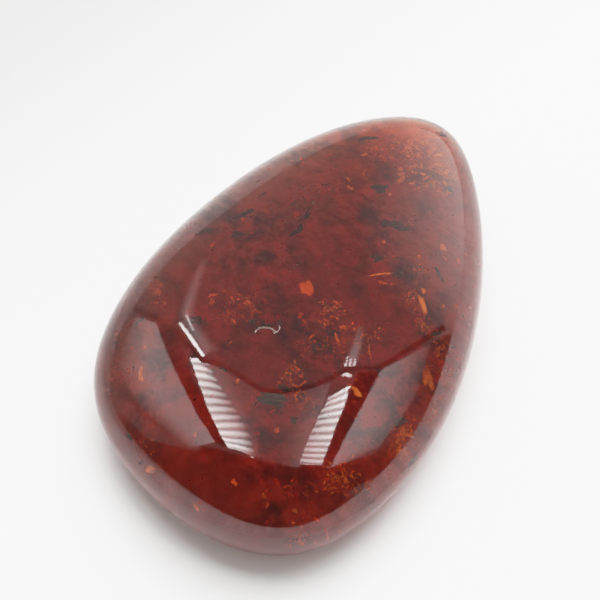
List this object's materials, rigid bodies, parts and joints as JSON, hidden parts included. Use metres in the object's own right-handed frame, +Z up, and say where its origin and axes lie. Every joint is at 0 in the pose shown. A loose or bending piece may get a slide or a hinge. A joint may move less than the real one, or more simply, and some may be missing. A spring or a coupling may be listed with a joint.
{
  "type": "teardrop amber stone",
  "caption": "Teardrop of clear, dark amber with a polished dome above and a flat ground back below, to rest on a surface or be set.",
  "frame": {"origin": "on the surface that the stone rests on, under the middle of its box", "axes": "+Z up out of the dome, +Y along the stone from its round end to its tip, +X across it"},
  "size_m": [0.0252, 0.038, 0.0114],
  "materials": {
    "amber": "polished, clear, deep red-brown fossil resin with sun spangles and fine dark debris inside"
  },
  "bodies": {
    "root": {"amber_stone": "amber"}
  },
  "joints": []
}
